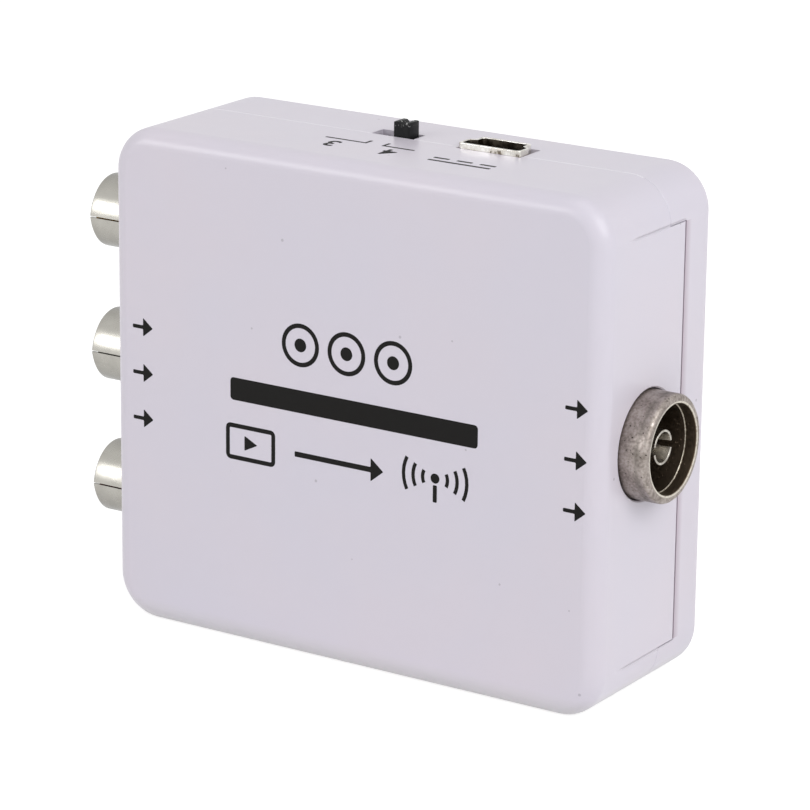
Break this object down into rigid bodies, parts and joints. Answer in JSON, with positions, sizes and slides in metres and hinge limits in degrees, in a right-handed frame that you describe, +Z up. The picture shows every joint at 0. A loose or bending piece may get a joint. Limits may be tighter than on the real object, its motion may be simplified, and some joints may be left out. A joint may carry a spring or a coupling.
{
  "type": "rf modulator",
  "caption": "Small snap-together box that turns phono picture and sound into an aerial signal: phono sockets on one side, aerial socket on the other, channel switch and USB power socket on top.",
  "frame": {"origin": "middle of the bottom side's flat face, on which the box stands, halfway between its left and right sides and its front and back faces", "axes": "+X towards the aerial socket, +Y from the front face to the back, +Z up towards the switch and the power socket"},
  "size_m": [0.0736, 0.0222, 0.0576],
  "materials": {
    "case_plastic": "fine satin moulded surface",
    "board_laminate": "lacquered glass-fibre board",
    "block_plastic": "moulded black plastic",
    "barrel_nickel": "bright nickel plating",
    "yellow_plastic": "glossy",
    "white_plastic": "glossy",
    "red_plastic": "glossy",
    "contact_brass": "plain stamped metal",
    "cast_nickel": "dull pitted casting, nickel plated",
    "contact_nickel": "nickel plating",
    "sleeve_steel": "bright plated sheet",
    "frame_steel": "plated sheet",
    "phenolic": "brown laminate",
    "slider_plastic": "satin black plastic",
    "print_ink": "screen printed black ink",
    "chip_epoxy": "matt black epoxy",
    "can_aluminium": "drawn can",
    "ferrite": "dull ferrite",
    "resistor_body": "glazed ceramic",
    "capacitor_body": "fired ceramic"
  },
  "bodies": {
    "case": {"front_shell": "case_plastic", "rear_shell": "case_plastic", "circuit_board": "board_laminate", "phono_block": "block_plastic", "phono_barrel_top": "barrel_nickel", "phono_barrel_middle": "barrel_nickel", "phono_barrel_bottom": "barrel_nickel", "phono_insulator_top": "yellow_plastic", "phono_insulator_middle": "white_plastic", "phono_insulator_bottom": "red_plastic", "phono_contact_top": "contact_brass", "phono_contact_middle": "contact_brass", "phono_contact_bottom": "contact_brass", "aerial_ring": "cast_nickel", "aerial_insulator": "block_plastic", "aerial_contact": "contact_nickel", "usb_sleeve": "sleeve_steel", "usb_insert": "block_plastic", "usb_contacts": "contact_brass", "switch_frame": "frame_steel", "switch_base": "phenolic", "switch_terminals": "contact_brass", "modulator_chip": "chip_epoxy", "controller_chip": "chip_epoxy", "crystal": "can_aluminium", "regulator": "chip_epoxy", "electrolytic_cans": "can_aluminium", "choke": "ferrite", "chip_resistors": "resistor_body", "chip_capacitors": "capacitor_body"},
    "slider": {"switch_slider": "slider_plastic", "switch_wiper": "contact_brass"}
  },
  "joints": [
    {"name": "channel_slide", "type": "slide", "parent": "case", "child": "slider", "axis": [-1, 0, 0], "range_m": [0, 0.002]}
  ]
}
